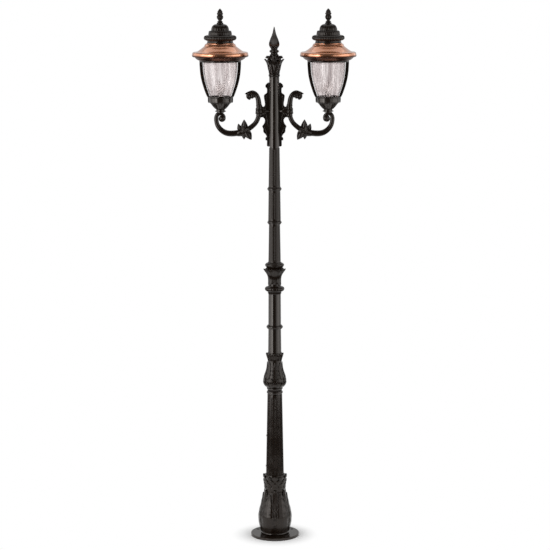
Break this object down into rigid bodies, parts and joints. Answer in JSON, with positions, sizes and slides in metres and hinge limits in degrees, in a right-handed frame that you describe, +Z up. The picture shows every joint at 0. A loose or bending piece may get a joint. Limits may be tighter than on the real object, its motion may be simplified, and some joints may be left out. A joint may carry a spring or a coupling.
{
  "type": "garden light",
  "caption": "Post-top garden light: fluted column on a bolted flange, scrolled arms, ribbed lanterns with lift-off copper roofs",
  "frame": {"origin": "middle of the flange's underside, where the column stands on its footing", "axes": "+Z up along the column, the lanterns at -X and +X, the pictured face towards -Y"},
  "size_m": [0.994, 0.342, 3.2733],
  "materials": {
    "dark_paint": "glossy brown-black powder coat",
    "copper": "lacquered satin copper",
    "ribbed_glass": "clear ribbed acrylic",
    "zinc": "galvanised steel",
    "steel": "stainless steel",
    "seal": "matt rubber",
    "terminal": "moulded nylon",
    "socket": "black lamp holder",
    "lamp": "opal lamp"
  },
  "bodies": {
    "root": {"base_flange": "dark_paint", "base_casting": "dark_paint", "base_screws": "steel", "lower_shaft": "dark_paint", "door_bar": "zinc", "gear_bracket": "zinc", "terminal_block": "terminal", "core_tube": "zinc", "core_socket": "zinc", "core_plug": "zinc", "shaft_collar": "dark_paint", "bulb_casting": "dark_paint", "plain_section_lower": "dark_paint", "ring_lower": "dark_paint", "plain_section_upper": "dark_paint", "vase_casting": "dark_paint", "fluted_section_lower": "dark_paint", "ring_middle": "dark_paint", "fluted_section_middle": "dark_paint", "ring_top": "dark_paint", "fluted_section_upper": "dark_paint", "mast_sleeve": "dark_paint", "column_capital": "dark_paint", "spear_finial": "dark_paint", "bracket_bolts": "dark_paint", "arm_nipples": "zinc", "lantern_nipples": "zinc", "bridge_screws": "steel", "left_bracket": "dark_paint", "left_arm": "dark_paint", "left_stem": "dark_paint", "left_cup": "dark_paint", "left_cage": "dark_paint", "left_glass": "ribbed_glass", "left_gasket": "seal", "left_bridge": "zinc", "left_stud": "steel", "left_lamp_holder": "socket", "right_bracket": "dark_paint", "right_arm": "dark_paint", "right_stem": "dark_paint", "right_cup": "dark_paint", "right_cage": "dark_paint", "right_glass": "ribbed_glass", "right_gasket": "seal", "right_bridge": "zinc", "right_stud": "steel", "right_lamp_holder": "socket"},
    "door": {"service_door": "dark_paint"},
    "door_screw_lower": {"door_screw_lower": "steel"},
    "door_screw_upper": {"door_screw_upper": "steel"},
    "left_roof": {"left_canopy": "copper", "left_crown": "dark_paint"},
    "left_finial": {"left_finial": "dark_paint"},
    "left_lamp": {"left_lamp": "lamp"},
    "right_roof": {"right_canopy": "copper", "right_crown": "dark_paint"},
    "right_finial": {"right_finial": "dark_paint"},
    "right_lamp": {"right_lamp": "lamp"}
  },
  "joints": [
    {"name": "door_pull", "type": "slide", "parent": "root", "child": "door", "axis": [-1, 0, 0], "range_m": [0, 0.08]},
    {"name": "door_screw_lower_turn", "type": "hinge", "parent": "door", "child": "door_screw_lower", "pos_m": [-0.06, 0, 0.443], "axis": [-1, 0, 0], "continuous": true},
    {"name": "door_screw_upper_turn", "type": "hinge", "parent": "door", "child": "door_screw_upper", "pos_m": [-0.06, 0, 0.637], "axis": [-1, 0, 0], "continuous": true},
    {"name": "left_roof_lift", "type": "slide", "parent": "root", "child": "left_roof", "axis": [0, 0, 1], "range_m": [0, 0.3]},
    {"name": "left_finial_turn", "type": "hinge", "parent": "left_roof", "child": "left_finial", "pos_m": [-0.326, 0, 3.2], "axis": [0, 0, 1], "continuous": true},
    {"name": "left_lamp_turn", "type": "hinge", "parent": "root", "child": "left_lamp", "pos_m": [-0.326, 0, 2.75], "axis": [0, 0, 1], "continuous": true},
    {"name": "right_roof_lift", "type": "slide", "parent": "root", "child": "right_roof", "axis": [0, 0, 1], "range_m": [0, 0.3]},
    {"name": "right_finial_turn", "type": "hinge", "parent": "right_roof", "child": "right_finial", "pos_m": [0.326, 0, 3.2], "axis": [0, 0, 1], "continuous": true},
    {"name": "right_lamp_turn", "type": "hinge", "parent": "root", "child": "right_lamp", "pos_m": [0.326, 0, 2.75], "axis": [0, 0, 1], "continuous": true}
  ]
}
